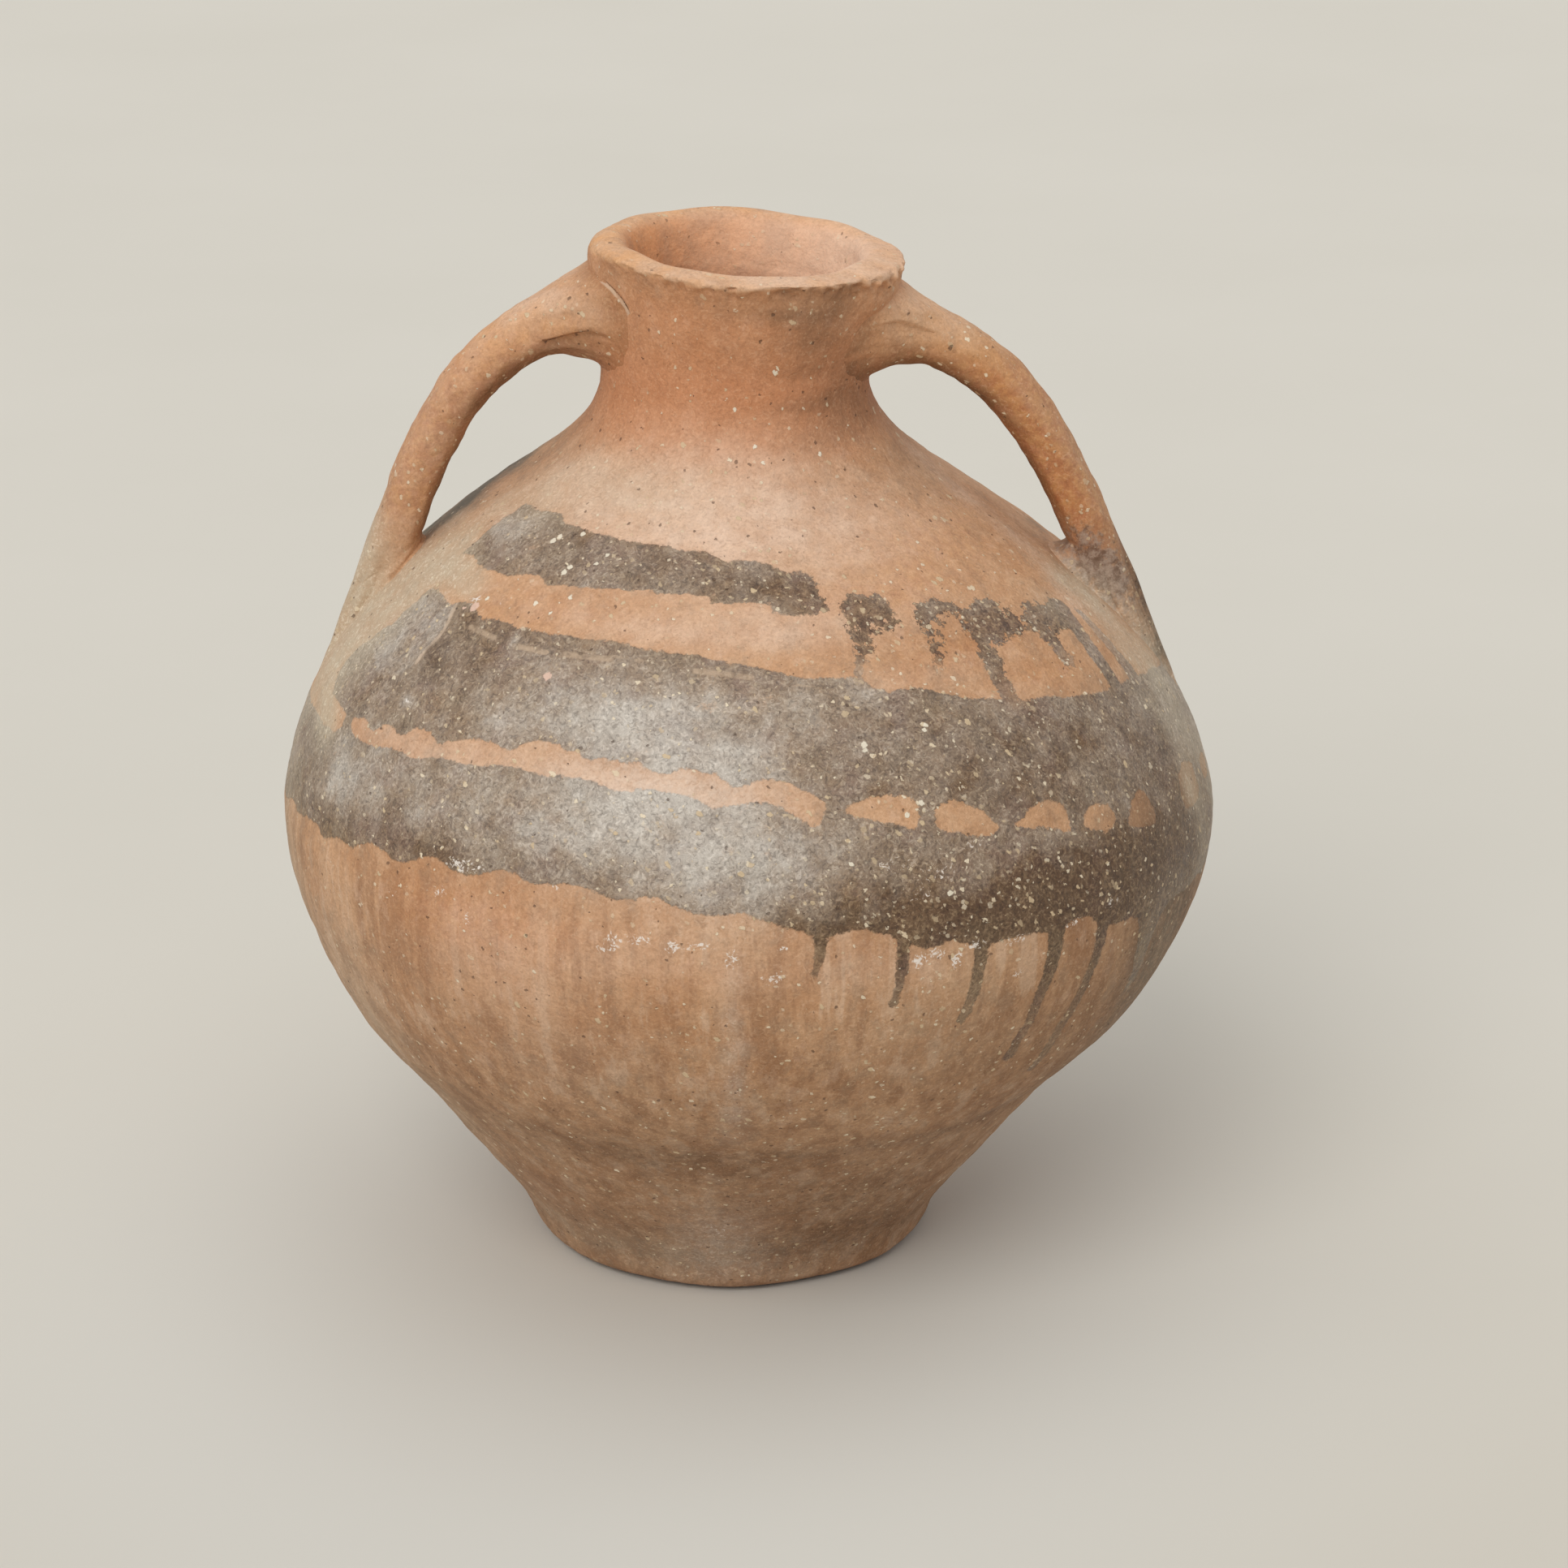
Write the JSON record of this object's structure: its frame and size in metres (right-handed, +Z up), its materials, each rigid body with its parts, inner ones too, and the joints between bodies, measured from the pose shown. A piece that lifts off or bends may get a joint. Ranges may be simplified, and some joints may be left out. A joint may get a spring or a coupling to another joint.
{
  "type": "storage jar",
  "caption": "Coil-built earthenware storage jar with a round belly, narrow foot, short neck, everted lip and a loop handle on each side from neck to shoulder, painted with dark slip bands.",
  "frame": {"origin": "centre of the base underside", "axes": "+Z up along the neck, handles along -X and +X, the front of the picture facing -Y"},
  "size_m": [0.3983, 0.3982, 0.4437],
  "materials": {
    "earthenware": "unglazed coarse terracotta, matt, with pale grit",
    "slip_painted_earthenware": "unglazed terracotta with brushed dark brown slip bands, matt"
  },
  "bodies": {
    "root": {"base_disc": "earthenware", "base_seam_coil": "earthenware", "foot_wall": "earthenware", "lower_wall": "earthenware", "lower_belly": "slip_painted_earthenware", "belly_band": "slip_painted_earthenware", "upper_belly": "slip_painted_earthenware", "shoulder_band": "slip_painted_earthenware", "upper_shoulder": "earthenware", "neck": "earthenware", "rim_lip": "earthenware", "left_handle": "earthenware", "right_handle": "earthenware", "left_upper_luting": "earthenware", "left_lower_luting": "earthenware", "right_upper_luting": "earthenware", "right_lower_luting": "earthenware"}
  },
  "joints": []
}
